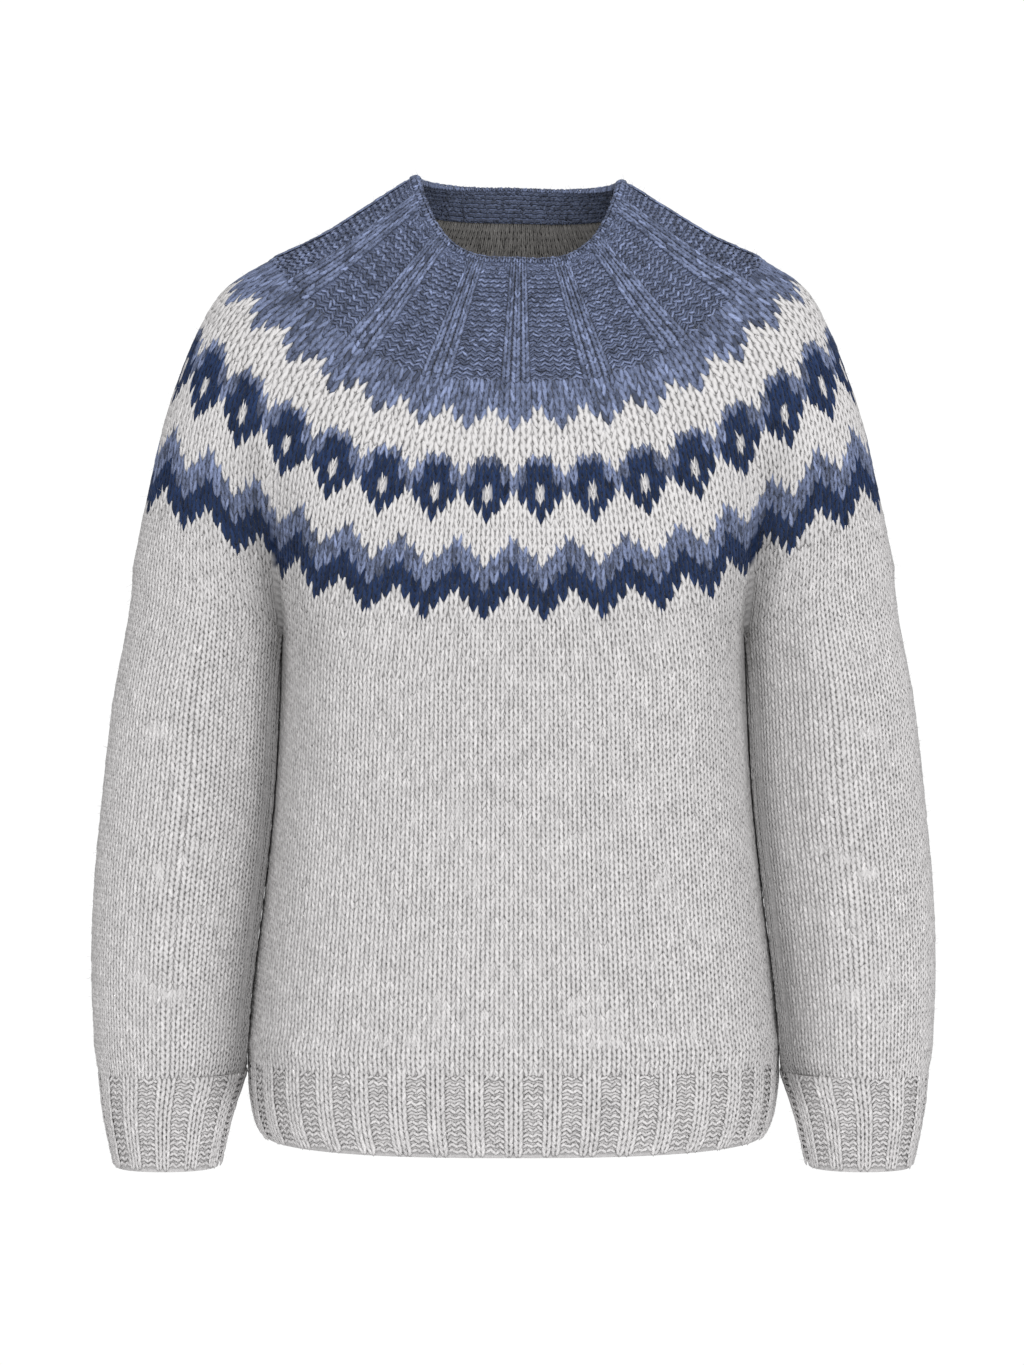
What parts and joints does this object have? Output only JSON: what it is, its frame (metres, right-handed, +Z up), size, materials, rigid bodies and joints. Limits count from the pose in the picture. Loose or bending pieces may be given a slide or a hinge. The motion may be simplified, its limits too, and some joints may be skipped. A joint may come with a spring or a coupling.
{
  "type": "nordic yoke sweater",
  "caption": "Long-sleeved wool sweater filled out as if worn, hollow, with ribbed hem and cuffs, a round colourwork yoke, a ribbed blue upper yoke and a folded neckband.",
  "frame": {"origin": "middle of the neck opening, at the wearer's neck base, midway in height between the front and the back of the neckband's crest", "axes": "+Z up, +X towards the wearer's left sleeve, the front of the garment faces -Y"},
  "size_m": [0.5798, 0.2311, 0.6807],
  "materials": {
    "light_grey_wool": "chunky light grey marl wool, stocking stitch with ribs at hem and cuffs, slightly fuzzy",
    "patterned_wool": "stranded colourwork in off-white, heather blue and navy wool over light grey",
    "blue_wool": "heather blue marl wool, broad rib"
  },
  "bodies": {
    "root": {"body_front": "light_grey_wool", "body_back": "light_grey_wool", "hem_rib_front": "light_grey_wool", "hem_rib_back": "light_grey_wool", "sleeve_left": "light_grey_wool", "sleeve_right": "light_grey_wool", "cuff_left": "light_grey_wool", "cuff_right": "light_grey_wool", "yoke_pattern": "patterned_wool", "yoke_rib": "blue_wool", "neckband": "blue_wool"}
  },
  "joints": []
}
